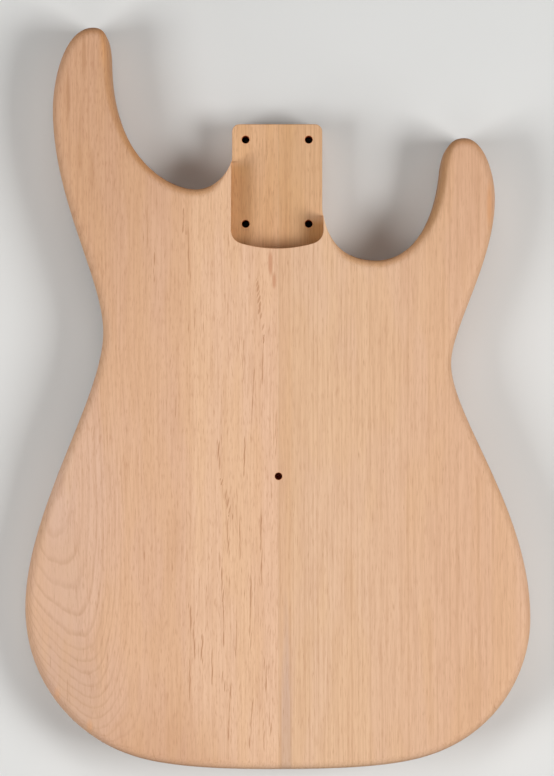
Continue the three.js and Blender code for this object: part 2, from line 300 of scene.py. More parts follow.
# A round hole's rings, from the first face down to the second: eased at both, or closed by a
# drill's cone where it is blind.
def holeRings(centre, diameter, top, bottom, isBlind):
    turn = np.linspace(0, 2 * np.pi, holes["facets"], endpoint=False)
    angle = np.linspace(0, np.pi / 2, holes["easeSteps"])
    radius = diameter / 2
    collar = [radius + holes["collar"]]
    flare = radius + holes["ease"] * (1 - np.cos(angle))
    drop = holes["ease"] * (1 - np.sin(angle))
    reach = np.concatenate([collar, flare[::-1]])
    height = np.concatenate([[top], (top - drop)[::-1]])
    if isBlind:
        reach = np.concatenate([reach, [radius, radius / 2, 0]])
        height = np.concatenate([height, [bottom, bottom - radius / 4, bottom - radius / 2]])
    else:
        reach = np.concatenate([reach, flare, collar])
        height = np.concatenate([height, bottom + drop, [bottom]])
    ring = np.stack([np.cos(turn), np.sin(turn)], 1)
    plan = centre + reach[:, None, None] * ring
    level = np.broadcast_to(height[:, None, None], plan.shape[:2] + (1,))
    return np.concatenate([plan, level], 2)


# Inside test for many points at once: a point is inside where a line from it to the right
# crosses the ring an odd number of times.
def isInside(points, ring):
    a, b = ring, np.roll(ring, -1, axis=0)
    y = points[:, 1:2]
    straddles = (a[:, 1] > y) != (b[:, 1] > y)
    rise = np.where(b[:, 1] == a[:, 1], 1, b[:, 1] - a[:, 1])
    crossing = a[:, 0] + (y - a[:, 1]) * (b[:, 0] - a[:, 0]) / rise
    return (straddles & (points[:, 0:1] < crossing)).sum(1) % 2 == 1


# Staggered rows of points inside a ring, clear of its own points
def pointsWithin(ring, openings):
    step = bodyPlan["sheetStep"]
    rows = np.arange(ring[:, 1].min(), ring[:, 1].max(), step * np.sqrt(3) / 2)
    columns = np.arange(ring[:, 0].min(), ring[:, 0].max(), step)
    across, along = np.meshgrid(columns, rows)
    across = across + (np.arange(len(rows)) % 2)[:, None] * step / 2
    points = np.stack([across.ravel(), along.ravel()], 1)
    points = points[isInside(points, ring)]
    edges = np.concatenate([ring] + openings)
    gap = np.concatenate([
        np.sqrt(((part[:, None] - edges[None]) ** 2).sum(2)).min(1)
        for part in np.array_split(points, 40)
    ])
    points = points[gap > step * meshing["clear"]]
    for opening in openings:
        points = points[~isInside(points, opening)]
    return points


# A face of the body: a net of triangles between its bounding ring, its holes and the points
# inside, lifted to the face's height.
def faceSheet(ring, openings, heightOf, isFilled=True):
    loops = [ring] + openings
    inner = pointsWithin(ring, openings) if isFilled else np.zeros((0, 2))
    points = np.concatenate(loops + [inner])
    starts = np.cumsum([0] + [len(loop) for loop in loops])
    edges = np.concatenate([
        np.stack([np.arange(len(loop)), np.roll(np.arange(len(loop)), -1)], 1) + start
        for loop, start in zip(loops, starts)
    ])
    net = delaunay_2d_cdt(list(map(Vector, points.tolist())), edges.tolist(), [], 1, 1e-7)
    plan = np.array(list(map(tuple, net[0])))
    triangles = np.array(net[2])
    middle = plan[triangles].mean(1)
    kept = np.ones(len(triangles), dtype=bool)
    for opening in openings:
        kept &= ~isInside(middle, opening)
    return np.concatenate([plan, heightOf(plan)[:, None]], 1), triangles[kept]


# Puts grids, which close on themselves along their rows, and triangle nets into one mesh
def meshOf(grids, nets):
    points, faces, start = [], [], 0
    for grid in grids:
        rows, columns = grid.shape[:2]
        index = np.arange(rows * columns).reshape(rows, columns) + start
        following = np.roll(index, -1, axis=1)
        quads = np.stack([index[:-1], following[:-1], following[1:], index[1:]], 2).reshape(-1, 4)
        points.append(grid.reshape(-1, 3))
        faces += quads.tolist()
        start += rows * columns
    for place, triangles in nets:
        points.append(place)
        faces += (triangles + start).tolist()
        start += len(place)
    mesh = bpy.data.meshes.new("wholeBody")
    mesh.from_pydata((np.concatenate(points) * millimetre).tolist(), [], faces)
    return mesh


# The whole body in one closed mesh: the lower wall follows the sawn edge and the heel up to the
# pocket's floor, the upper wall follows the sawn edge and the pocket's wall up to the front.
# Where the front's rounding comes down past the floor's height, the two walls meet below it.
def wholeBody():
    edge, heel, wall = bodyPaths()
    lower = np.concatenate([edge, heel[1:-1]])
    upper = np.concatenate([edge, wall[1:-1]])
    lowerNormal = np.concatenate([inward(edge), inward(heel)[1:-1]])
    upperNormal = np.concatenate([inward(edge), inward(wall)[1:-1]])
    flatEdge = np.zeros(len(edge))
    backRadius = np.maximum(rimRadius(lower), rims["ease"])
    frontRadius = np.concatenate([rimRadius(edge), easeRadius(wall)[1:-1]])
    heelRadius = np.concatenate([flatEdge, easeRadius(heel)[1:-1]])
    back = roundedRows(lower, lowerNormal, backRadius, backHeight, -1, rims["rows"])
    shelf = roundedRows(lower, lowerNormal, heelRadius, floorHeight, 1, rims["easeRows"])
    front = roundedRows(upper, upperNormal, frontRadius, frontHeight, 1, rims["rows"])
    foot = np.concatenate([upper, np.full((len(upper), 1), pocketFloor)], 1)
    foot[:, 2] = np.minimum(foot[:, 2], front[0, :, 2] - meshing["belowRounding"])
    shelf[:, :len(edge), 2] = foot[:len(edge), 2]
    grids = [
        np.concatenate([
            back[::-1], rowsBetween(back[0], shelf[0], meshing["lowerRows"]), shelf]),
        np.concatenate([foot[None], rowsBetween(foot, front[0], meshing["upperRows"]), front]),
    ]
    screwX = np.array([-1, 1, -1, 1]) * holes["columnSpacing"] / 2
    screwY = heelEnd - holes["rowInset"] - np.array([0, 0, 1, 1]) * holes["rowSpacing"]
    screws = [
        holeRings(np.array(centre), holes["screwDiameter"], pocketFloor, 0, False)
        for centre in zip(screwX, screwY)
    ]
    locator = holeRings(
        np.array([glueJoint["offset"], tail + holes["locatorHeight"]]), holes["locatorDiameter"],
        bodyPlan["thickness"], bodyPlan["thickness"] - holes["locatorDepth"], True)
    shelfRing = np.concatenate([edge[-1:], shelf[-1, len(edge):, :2], edge[:1], wall[1:-1][::-1]])
    nets = [
        faceSheet(front[-1, :, :2], [locator[0, :, :2]], frontHeight),
        faceSheet(back[-1, :, :2], [rings[-1, :, :2] for rings in screws], backHeight),
        faceSheet(shelfRing, [rings[0, :, :2] for rings in screws], floorHeight),
    ]
    return meshOf(grids + screws + [locator], nets)


def placed(name, data):
    thing = bpy.data.objects.new(name, data)
    bpy.context.scene.collection.objects.link(thing)
    return thing


# One board or the glue between them: the part of the whole body between two planes across the
# width, closed where it was cut.
def slicedPiece(name, whole, left, right):
    shape = bmesh.new()
    shape.from_mesh(whole)
    bmesh.ops.remove_doubles(shape, verts=shape.verts, dist=meshing["weld"])
    for place, way in ((left, -1), (right, 1)):
        if abs(place) < halfWidth:
            everything = list(shape.verts) + list(shape.edges) + list(shape.faces)
            cut = bmesh.ops.bisect_plane(
                shape, geom=everything, dist=meshing["cut"], plane_co=(place * millimetre, 0, 0),
                plane_no=(way, 0, 0), clear_outer=True)
            rim = [part for part in cut["geom_cut"] if isinstance(part, bmesh.types.BMEdge)]
            caps = bmesh.ops.holes_fill(shape, edges=rim, sides=0)
            bmesh.ops.triangulate(shape, faces=caps["faces"])
    bmesh.ops.recalc_face_normals(shape, faces=shape.faces)
    mesh = bpy.data.meshes.new(name)
    openEdges = sum(1 for item in shape.edges if len(item.link_faces) != 2)
    volume = shape.calc_volume() / (10 * millimetre) ** 3
    print(name, len(shape.faces), "faces,", openEdges, "open edges,", volume, "cubic centimetres")
    shape.to_mesh(mesh)
    shape.free()
    mesh.polygons.foreach_set("use_smooth", np.ones(len(mesh.polygons), dtype=bool))
    mesh.set_sharp_from_angle(angle=np.radians(meshing["sharpFrom"]))
    return placed(name, mesh)


whole = wholeBody()
seamLeft = glueJoint["offset"] - glueJoint["thickness"] / 2
seamRight = glueJoint["offset"] + glueJoint["thickness"] / 2
bassBoard = slicedPiece("bassBoard", whole, -outside, seamLeft)
trebleBoard = slicedPiece("trebleBoard", whole, seamRight, outside)
glueLine = slicedPiece("glueLine", whole, seamLeft, seamRight)
bpy.data.meshes.remove(whole)
for piece, node, finish in (
        (bassBoard, "bass_side_board", "bass_board_alder"),
        (trebleBoard, "treble_side_board", "treble_board_alder"),
        (glueLine, "centre_glue_line", "cured_wood_glue")):
    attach(piece, "root")
    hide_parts(node)
print("pieces: two boards and the glue line between them")


# A colour written as 0 to 255 becomes the light value that a shader takes
def paint(red, green, blue):
    value = np.array([red, green, blue]) / 255
    light = np.where(value <= 0.04045, value / 12.92, ((value + 0.055) / 1.055) ** 2.4)
    return (*light.tolist(), 1)


# A value inside a node tree. Sums of such values draw the nodes that work them out.
class Value:
    def __init__(self, tree, socket):
        self.tree, self.socket = tree, socket

    def __add__(self, other):
        return calc("ADD", self, other)

    def __sub__(self, other):
        return calc("SUBTRACT", self, other)

    def __rsub__(self, other):
        return calc("SUBTRACT", other, self)

    def __mul__(self, other):
        return calc("MULTIPLY", self, other)

    def __truediv__(self, other):
        return calc("DIVIDE", self, other)

    def __rtruediv__(self, other):
        return calc("DIVIDE", other, self)

    __radd__, __rmul__ = __add__, __mul__

    def feed(self, target):
        self.tree.links.new(self.socket, target)


class Outputs:
    def __init__(self, tree, node):
        self.tree, self.sockets = tree, node.outputs

    def __getitem__(self, key):
        return Value(self.tree, self.sockets[key])


# Fills a node's inputs with plain values or fed ones, and gives its outputs
def filled(tree, node, inputs):
    for key, value in inputs.items():
        if isinstance(value, Value):
            value.feed(node.inputs[key])
        else:
            node.inputs[key].default_value = value
    return Outputs(tree, node)


def addNode(tree, kind, settings, inputs):
    node = tree.nodes.new("ShaderNode" + kind)
    for name, value in settings.items():
        setattr(node, name, value)
    return filled(tree, node, inputs)


def useGroup(tree, group, inputs):
    node = tree.nodes.new("ShaderNodeGroup")
    node.node_tree = group
    return filled(tree, node, inputs)


def calc(operation, *values):
    tree = next(value.tree for value in values if isinstance(value, Value))
    return addNode(tree, "Math", {"operation": operation}, dict(enumerate(values)))[0]


# Reads a value between two marks: smooth, and held at both ends
def between(value, lowest, highest, start=0, end=1):
    return addNode(value.tree, "MapRange", {"interpolation_type": "SMOOTHSTEP"}, {
        "Value": value, "From Min": lowest, "From Max": highest, "To Min": start, "To Max": end,
    })["Result"]


def mixed(share, first, second, way="MIX"):
    return addNode(share.tree, "Mix", {"data_type": "RGBA", "blend_type": way}, {
        0: share, 6: first, 7: second,
    })[2]


def stretched(vector, scale):
    return addNode(
        vector.tree, "VectorMath", {"operation": "MULTIPLY"}, {0: vector, 1: scale})[0]


def axesOf(vector):
    return addNode(vector.tree, "SeparateXYZ", {}, {0: vector})


# How quickly each noise changes, per millimetre across, along and up, its detail and roughness
noiseKinds = {
    "ripple": ((0.14, 0.05, 0.1), 2, 0.5), "drift": ((0.06, 0.02, 0.05), 3, 0.6),
    "fading": ((0.4, 0.02, 0.1), 1, 0.5), "wavy": ((0.012, 0.007, 0.02), 1, 0.5),
    "ragged": ((0.4, 0.03, 0.1), 2, 0.5), "warmth": ((0.07, 0.012, 0.06), 1, 0.5),
    "cloud": ((1, 0.12, 1), 3, 0.5), "grain": ((1, 1, 1), 2, 0.5), "pores": ((1, 1, 1), 1, 0.5),
}


def noise(place, kind, output="Fac"):
    scale, detail, roughness = noiseKinds[kind]
    return addNode(place.tree, "TexNoise", {"noise_dimensions": "3D"}, {
        "Vector": stretched(place, scale), "Scale": 1, "Detail": detail, "Roughness": roughness,
    })[output]


# A noise along a line alone, read at a given value
def lineNoise(value, scale):
    return addNode(value.tree, "TexNoise", {"noise_dimensions": "1D"}, {
        "W": value, "Scale": scale})["Fac"]


def whiteNoise(value, output):
    return addNode(
        value.tree, "TexWhiteNoise", {"noise_dimensions": "1D"}, {"W": value})[output]


def facingOf(tree):
    return axesOf(addNode(tree, "NewGeometry", {}, {})["Normal"])


# A group whose inside is drawn by a function of the tree, its inputs and the three axes of the
# place in millimetres. The function gives the group's outputs by name; each other input is
# listed with its usual value.
def newGroup(draw, inputs):
    tree = bpy.data.node_groups.new(draw.__name__, "ShaderNodeTree")
    tree.interface.new_socket(name="Place", in_out="INPUT", socket_type="NodeSocketVector")
    for label, value in inputs.items():
        socket = tree.interface.new_socket(
            name=label, in_out="INPUT", socket_type="NodeSocketFloat")
        socket.default_value = value
    source = Outputs(tree, tree.nodes.new("NodeGroupInput"))
    outputs = draw(tree, source, axesOf(source["Place"]))
    for label in outputs:
        tree.interface.new_socket(name=label, in_out="OUTPUT", socket_type="NodeSocketFloat")
    result = tree.nodes.new("NodeGroupOutput").inputs
    for label, value in outputs.items():
        value.feed(result[label])
    return tree


# Growth rings: cylinders round a pith that leans and bows on one side of the board. Where the
# surface cuts them the late wood shows as a thin line, darkest at the end of the year.
def growthRings(tree, source, axes):
    along = calc("MINIMUM", axes[1] - source["Datum"], source["Straight Beyond"])
    squared = along * along
    kept = between(axes[0], source["Lean From"], source["Lean To"], 1, source["Lean Left"])
    lean = along * source["Pith Lean"] + squared * source["Pith Bow"]
    across = axes[0] - source["Pith Across"] - lean * kept
    sink = along * source["Depth Lean"] + squared * source["Depth Bow"]
    depth = sink * kept + source["Pith Depth"]
    ripple = noise(source["Place"], "ripple")
    depth = (ripple - 0.5) * source["Ripple"] + depth
    below = depth - axes[2]
    radius = calc("SQRT", across * across + below * below)
    drift = noise(source["Place"], "drift")
    radius = (drift - 0.5) * source["Wander"] + radius
    years = lineNoise(radius, 0.16)
    radius = (years - 0.5) * source["Uneven"] + radius
    beyond = calc("MAXIMUM", 0, radius - source["Changes At"])
    change = 1 / source["Spacing Beyond"] - 1 / source["Spacing"]
    count = (radius - source["First Ring"]) / source["Spacing"]
    count = beyond * change + count
    part = calc("FRACT", count)
    rise = 1 - source["Line Share"]
    top = source["Line Share"] * -0.3 + 1
    line = between(part, rise, top) * between(part, 1, top)
    year = calc("FLOOR", count)
    strength = between(whiteNoise(year, "Value"), 0, 1, source["Faintest"], 1)
    fading = between(noise(source["Place"], "fading"), 0.35, 0.6, source["Faded"], 1)
    return {"Line": line * strength * fading, "Season": lineNoise(count, 0.3)}


# Fibres drawn out along the board, and the short open pores between them
def woodFibres(tree, source, axes):
    drawn = {}
    for output, name in (("Grain", "Fibre"), ("Pores", "Pore")):
        width, length = source[name + " Width"], source[name + " Length"]
        place = addNode(tree, "CombineXYZ", {}, {
            0: axes[0] / width,
            1: axes[1] / length,
            2: axes[2] / width,
        })[0]
        drawn[output] = noise(place, output.lower())
    return drawn


# Small ray flecks: a slender pointed mark in some cells of a drawn-out pattern
def rayFlecks(tree, source, axes):
    place = addNode(tree, "CombineXYZ", {}, {
        0: (axes[2] * 0.6 + axes[0]) / source["Cell Width"],
        1: axes[1] / source["Cell Length"],
    })[0]
    cells = addNode(tree, "TexVoronoi", {"voronoi_dimensions": "2D", "distance": "MANHATTAN"}, {
        "Vector": place, "Scale": 1, "Randomness": 1})
    chance = addNode(tree, "SeparateColor", {}, {0: cells["Color"]})
    reach = source["Width"] / source["Cell Width"]
    reach = reach * between(chance[1], 0, 1, 0.5, 1.4)
    mark = between(cells["Distance"], reach, reach * 0.3)
    isShown = calc("LESS_THAN", chance[0], source["Shown"])
    weight = between(chance[2], 0, 1, 0.4, 1)
    return {"Mark": mark * isShown * weight}


# Where the large ray flecks run on the bass side board: from x, y to x, y in millimetres, how
# wide they are against the usual, how strong, and how many go to the usual length of one
fleckRuns = [
    (-12.7, 74, -7.9, 33, 1.9, 0.7, 1.9), (-22.2, -68, -22, -99, 0.8, 0.8, 0.8),
    (-3.4, -50, -3.4, -64, 0.6, 0.7, 1), (-8.2, 38, -9.1, 8, 1, 0.8, 0.8),
    (-13.9, 22, -15.4, -18, 1, 0.8, 0.8), (-19.9, 38, -20.5, 8, 1.2, 0.6, 0.7),
    (-0.7, -6, -0.7, -36, 0.8, 0.7, 0.8), (-19.9, -21, -19.9, -49, 1, 0.9, 0.9),
    (-10, -65, -8.8, -123, 1.1, 0.9, 0.9), (-16.3, -102, -16, -155, 1, 0.9, 0.8),
    (-7.9, -152, -3.7, -205, 1.1, 0.9, 0.9), (-14.5, -178, -16.6, -212, 1, 0.9, 0.9),
    (-8.5, -189, -7.9, -213, 0.8, 0.8, 1.2), (-35.8, -23, -33.7, -52, 1.2, 0.9, 0.8),
    (-33.2, -48, -26.6, -74, 1.2, 0.8, 1.3), (-30.4, -69, -28.8, -97, 1, 0.8, 1),
    (-34.3, -90, -32.5, -127, 1.2, 0.9, 0.9), (-31.9, -122, -31.9, -151, 0.9, 0.9, 0.7),
    (-24.7, -130, -24.7, -157, 0.7, 0.8, 0.7), (-52.7, -121, -48.8, -158, 1.2, 0.9, 0.9),
    (-44.6, -140, -45.2, -160, 1.2, 0.9, 1), (-39.1, -150, -39.1, -174, 0.9, 0.9, 0.7),
    (-33.7, -162, -30.7, -177, 1.3, 0.85, 1), (-27.7, -168, -29.2, -208, 1.1, 0.8, 0.7),
    (-52.4, -153, -52.4, -185, 1.1, 0.8, 0.9), (-56.2, 115, -56, 98, 1.3, 0.8, 1),
    (-53.5, 104, -52.1, 69, 1, 0.9, 0.8), (-74, 90, -73.6, 68, 1, 0.9, 0.9),
    (-77.6, 119, -78.2, 86, 1, 0.6, 0.8), (-49.3, 56, -49.9, 28, 1, 0.75, 0.8),
    (-43.8, 52, -43.8, 36, 1, 0.8, 1), (-60.8, 12.5, -60.8, -13, 0.8, 0.9, 0.7),
    (-80, -90, -80, -113, 0.8, 0.8, 0.9), (-78.8, -130, -78.8, -154, 0.9, 0.8, 0.9),
    (-125.9, -167.4, -125.9, -183.1, 0.6, 0.6, 1),
]


# Large ray flecks: each run is a row of slender marks, end to end, that lie a little beside its
# middle line. All the runs share one row, read at its own stretch by each of them. A mark's half
# width is w(1 - g^2), where g goes from -1 to 1 along it.
def fleckRows(tree, source, axes):
    sunk = calc("MAXIMUM", 0, bodyPlan["thickness"] - 6 - axes[2])
    x = sunk * source["Drift"] + axes[0]
    reach = source["Width"] * 0.75 + source["Spread"] * 2.4
    aside, onward, weight, taper, slope = 0, 0, 0, 0, 0
    for count, (startX, startY, endX, endY, wide, strong, brief) in enumerate(fleckRuns):
        part = axes[1] * (1 / (endY - startY)) - startY / (endY - startY)
        middle = part * ((startX - endX) / wide) - startX / wide
        off = x * (1 / wide) + middle
        inner = part * (1 - part)
        isNear = calc("COMPARE", off, 0, reach)
        here = isNear * calc("GREATER_THAN", inner, 0)
        aside = here * off + aside
        step = axes[1] * brief + 31.7 * count
        onward = here * step + onward
        slope = here * ((endX - startX) / (endY - startY) / wide) + slope
        weight = here * strong + weight
        taper = here * inner + taper
    taper = calc("MINIMUM", 1, taper * 9)
    run = onward / source["Length"]
    marks = []
    for shift, leastChance in ((0, 0), (0.5, 0.3)):
        step = run + shift
        drawn = whiteNoise(calc("FLOOR", step) + shift, "Color")
        chance = addNode(tree, "SeparateColor", {}, {0: drawn})
        place = calc("FRACT", step) - 0.5
        share = between(chance[1], 0, 1, 0.4, 0.5)
        g = place / share
        width = (1 - g * g) * taper * between(chance[2], 0, 1, 0.5, 0.8)
        width = calc("MAXIMUM", width, 0) * source["Width"]
        centre = (chance[0] * 2 - 1) * source["Spread"]
        lean = source["Tilt"] * chance[1] - slope
        leaning = place * source["Length"] * lean
        away = calc("ABSOLUTE", aside - centre - leaning)
        mark = between(width - away, 0, 0.28)
        marks.append(mark * calc("GREATER_THAN", chance[2], leastChance))
    mark = calc("MAXIMUM", marks[0], marks[1])
    return {"Mark": mark * weight}


# A stained place, or a place of painted shade: an ellipse with a soft edge, ragged by a noise
# that all such places on a board share
def stainAndShadePlace(tree, source, axes):
    aside = (axes[0] - source["Across"]) / source["Half Width"]
    along = (axes[1] - source["Along"]) / source["Half Length"]
    away = calc("SQRT", aside * aside + along * along)
    away = (source["Rough"] - 0.5) * source["Ragged"] + away
    return {"Mask": between(away, 1, 1 - source["Soft"])}


# Where the router went: 1 inside the pocket below the front face. The other masks are painted
# shade on the pocket's floor: along the foot of its walls, up to where each side's lip runs out,
# and in its left corner by the end wall
def routedPlaceAndShade(tree, source, axes):
    inside = calc("LESS_THAN", calc("ABSOLUTE", axes[0]), source["Half Width"])
    beyond = calc("GREATER_THAN", axes[1], source["End"])
    high = between(axes[2], source["Top"], source["Top"] - 1)
    low = calc("GREATER_THAN", axes[2], source["Floor"])
    mask = inside * beyond * high * low
    places = {"Mask": mask}
    # painted shade on the floor by the end wall and by the side walls
    end = between(axes[1], source["End"] + 11, source["End"] + 2)
    for name, side, atEnd in (("Left", -1, 0.3), ("Right", 1, 0)):
        lip = source[name + " Lip"]
        beside = between(axes[0] * side, 11, 22)
        below = between(axes[1], lip + 3, lip - 3)
        foot = calc("MAXIMUM", beside * below, end * atEnd)
        places[name + " Foot"] = foot * mask
        # painted shade in the left corner by the end wall
        if side < 0:
            places["Corner"] = beside * end * mask
    return places


# Where a drill went: 1 within the radius of the five holes' axes, as deep as each goes. The
# screw holes mirror each other across the middle.
def drilledPlace(tree, source, axes):
    mirrored = calc("ABSOLUTE", axes[0])
    beside, firstRow = holes["columnSpacing"] / 2, heelEnd - holes["rowInset"]
    masks = []
    for across, x, y, radius in (
            (mirrored, beside, firstRow, "Screw Radius"),
            (mirrored, beside, firstRow - holes["rowSpacing"], "Screw Radius"),
            (axes[0], glueJoint["offset"], tail + holes["locatorHeight"], "Locator Radius")):
        dx = across - x
        dy = axes[1] - y
        away = calc("SQRT", dx * dx + dy * dy)
        outer = source[radius] + source["Edge"]
        masks.append(between(away, outer, source[radius]))
    bottom = bodyPlan["thickness"] - holes["locatorDepth"] - 2
    masks[2] = masks[2] * calc("GREATER_THAN", axes[2], bottom)
    screws = calc("MAXIMUM", masks[0], masks[1])
    return {"Mask": calc("MAXIMUM", screws, masks[2])}


# End grain: the walls that look along the fibres. Painted shade: the rims that look to the neck,
# which the light reaches less
def endGrainAndShade(tree, source, axes):
    facing = facingOf(tree)[1]
    return {
        "Wall": between(calc("ABSOLUTE", facing), 0.7, 1),
        "Neckward": between(facing, 0.15, 0.7),
    }


# Painted shade on the inner edge of a horn, where it looks to the middle, from beside the heel
# up.
# Side is 1 for the bass horn and -1 for the treble horn.
def innerHornShadeEdge(tree, source, axes):
    facing = facingOf(tree)[0] * source["Side"]
    outward = axes[0] * source["Side"] * -1
    beside = calc("GREATER_THAN", outward, source["Beside"])
    high = between(axes[1], source["Above"], source["Above"] + 25)
    return {"Mask": between(facing, source["From"], source["To"]) * beside * high}


effects = {
    "rings": newGroup(growthRings, {
        "Datum": -120, "Pith Across": 0, "Pith Lean": 0, "Pith Bow": 0, "Pith Depth": 0,
        "Depth Lean": 0, "Depth Bow": 0, "Lean From": -999, "Lean To": -998, "Lean Left": 1,
        "Straight Beyond": 999, "First Ring": 0, "Spacing": 3, "Changes At": 999,
        "Spacing Beyond": 3, "Uneven": 0, "Wander": 0.3, "Ripple": 0, "Line Share": 0.45,
        "Faintest": 0.6, "Faded": 0.6,
    }),
    "fibres": newGroup(woodFibres, {
        "Fibre Width": 1.4, "Fibre Length": 30, "Pore Width": 0.6, "Pore Length": 3,
    }),
    "flecks": newGroup(rayFlecks, {
        "Cell Width": 4, "Cell Length": 30, "Width": 0.4, "Shown": 0.5,
    }),
    "fleckRows": newGroup(fleckRows, {
        "Width": 0.62, "Spread": 0.42, "Length": 12.5, "Tilt": 0.1, "Drift": 0.35,
    }),
    "stain": newGroup(stainAndShadePlace, {
        "Rough": 0.5, "Across": 0, "Along": 0, "Half Width": 10, "Half Length": 50, "Soft": 0.5,
        "Ragged": 0.3,
    }),
    "routed": newGroup(routedPlaceAndShade, {
        "Half Width": 28.2, "End": 89, "Top": 44, "Floor": 28.3, "Left Lip": 141,
        "Right Lip": 107,
    }),
    "drilled": newGroup(drilledPlace, {
        "Edge": 0.3, "Screw Radius": holes["screwDiameter"] / 2,
        "Locator Radius": holes["locatorDiameter"] / 2,
    }),
    "endGrainAndShade": newGroup(endGrainAndShade, {}),
    "burnished": newGroup(innerHornShadeEdge, {
        "Side": 1, "Beside": 30, "Above": 84, "From": 0.2, "To": 0.6,
    }),
}

# A stain, or a patch of painted shade, is a row: its tone and strength, then these inputs of its
# group
stainAndShadeShape = ("Across", "Along", "Half Width", "Half Length", "Soft", "Ragged")

bassBoardLook = {
    "outer": paint(227, 183, 151), "inner": paint(235, 193, 160),
    "from": -60, "to": -46,             # where the tone turns, across the board
    "lineTone": paint(188, 138, 104), "lineStrength": 0.36, "farLineStrength": 0.17,
    "figureEdge": (-104, -80),          # where the open ring figure ends, across the board
    "seasonTone": paint(216, 168, 124), "seasonStrength": 0.2,
    "fibreTone": paint(184, 132, 98), "fibreStrength": 0.24, "poreStrength": 0.44,
    # how strong the fibres are on the forearm contour and on the horn, against the rest
    "carvedShare": 0.45, "hornShare": 1.4,
    "fleckTone": paint(178, 126, 90), "fleckStrength": 0.6, "rowStrength": 0.85,
    # the tone of the painted shade on the horn's inner edge
    "side": 1, "burnishedTone": paint(248, 239, 222),
    "rings": {
        "Pith Across": -138.9, "Pith Lean": -0.185, "Pith Bow": 0.00038,
        "Pith Depth": 88.95, "Depth Lean": -0.242, "Depth Bow": 0.00076,
        "Lean From": -97, "Lean To": -60, "Lean Left": 0.1, "Straight Beyond": 150,
        "First Ring": 43.1, "Spacing": 3.05, "Changes At": 55.3, "Spacing Beyond": 1.95,
        "Uneven": 0.6, "Wander": 1, "Ripple": 1.3, "Line Share": 0.42, "Faintest": 0.65,
    },
    "fibres": {"Fibre Width": 1.1, "Fibre Length": 27, "Pore Width": 0.55, "Pore Length": 5.5},
    "flecks": {"Cell Width": 3.4, "Cell Length": 50, "Width": 0.32, "Shown": 0.45},
    "stains": [
        (paint(226, 187, 162), 0.8, -122, -70, 36, 120, 0.7, 0.3),
        (paint(213, 174, 150), 0.75, -140, -200, 70, 85, 0.8, 0.3),
        (paint(214, 168, 135), 0.8, -68, -238, 62, 78, 0.7, 0.3),
        # painted shade, darker over the bass horn and towards the neck end
        (paint(211, 165, 131), 0.85, -115, 230, 95, 280, 0.8, 0.3),
        (paint(234, 190, 158), 0.5, -6, -40, 17, 220, 0.9, 0.3),
        (paint(232, 172, 120), 0.5, -104.6, 209, 3, 15, 0.8, 0.3),
        # broad ray flecks below the pocket
        (paint(206, 150, 118), 0.85, -4.1, 80.6, 1.7, 10.4, 0.6, 0.8),
        (paint(206, 150, 118), 0.85, -1.8, 70.2, 1.5, 6.4, 0.6, 0.8),
        # brown seasons on the horn
        (paint(186, 138, 102), 0.75, -115.9, 205, 1.7, 17, 0.9, 1.6),
        (paint(186, 138, 102), 0.8, -125.2, 184, 1.7, 21, 0.9, 1.6),
        (paint(186, 138, 102), 0.75, -118, 160, 1.7, 30, 0.9, 1.6),
        (paint(186, 138, 102), 0.65, -110.5, 138, 1.7, 28, 0.9, 1.6),
        (paint(236, 176, 126), 0.5, -132.3, -178.3, 3, 7, 0.9, 0.3),
        (paint(236, 176, 126), 0.5, -112.4, -196.9, 3, 6, 0.9, 0.3),
    ],
}

trebleBoardLook = {
    "outer": paint(225, 181, 148), "inner": paint(230, 190, 157),
    "from": 125, "to": 30,
    "lineTone": paint(190, 142, 104), "lineStrength": 0.36, "farLineStrength": 0.36,
    "figureEdge": (0, 1),
    "seasonTone": paint(216, 168, 128), "seasonStrength": 0.15,
    "fibreTone": paint(186, 136, 102), "fibreStrength": 0.25, "poreStrength": 0.41,
    "carvedShare": 1, "hornShare": 1,
    "fleckTone": paint(176, 128, 94), "fleckStrength": 0.6, "rowStrength": 0,
    # the tone of the painted shade on the horn's inner edge
    "side": -1, "burnishedTone": paint(224, 217, 201),
    "rings": {
        "Datum": 0, "Pith Across": -160, "Pith Bow": 0.00002, "Pith Depth": 60,
        "First Ring": 160, "Spacing": 2.85, "Changes At": 222, "Spacing Beyond": 4.2,
        "Uneven": 3.2, "Wander": 1.2, "Line Share": 0.55, "Faintest": 0.35, "Faded": 0.45,
    },
    "fibres": {"Fibre Width": 1.1, "Fibre Length": 34, "Pore Width": 0.5, "Pore Length": 7.5},
    "flecks": {"Cell Width": 3, "Cell Length": 30, "Width": 0.28, "Shown": 0.24},
    "stains": [
        (paint(227, 184, 148), 0.9, 4.8, 0, 5.6, 900, 0.6, 0.3),
        # the grey mineral streak beside the joint
        (paint(212, 179, 158), 0.85, 5.5, -230, 4.6, 126, 0.6, 0.3),
        # painted shade, darker over the treble horn
        (paint(217, 171, 137), 0.9, 130, 190, 70, 150, 0.8, 0.3),
        (paint(214, 154, 106), 0.7, 127.2, 116, 2.6, 21, 0.8, 0.3),
    ],
}

# The routed tone is the cut wood's own; the two feet and the corner are painted shade on the
# pocket's floor, by its walls and in its left corner by the end wall
routedAndShadeLook = {
    "tone": paint(236, 222, 188), "strength": 0.55,
    "leftFoot": paint(239, 231, 212), "rightFoot": paint(226, 212, 180),
    "corner": paint(217, 213, 207),
}
# wallTone is the end grain's own; the other tone is painted shade, warmer, on the rims that look
# to the neck
endGrainAndShadeLook = {"wallTone": paint(236, 226, 216), "neckwardTone": paint(255, 243, 224)}
drilledTone = paint(205, 132, 84)
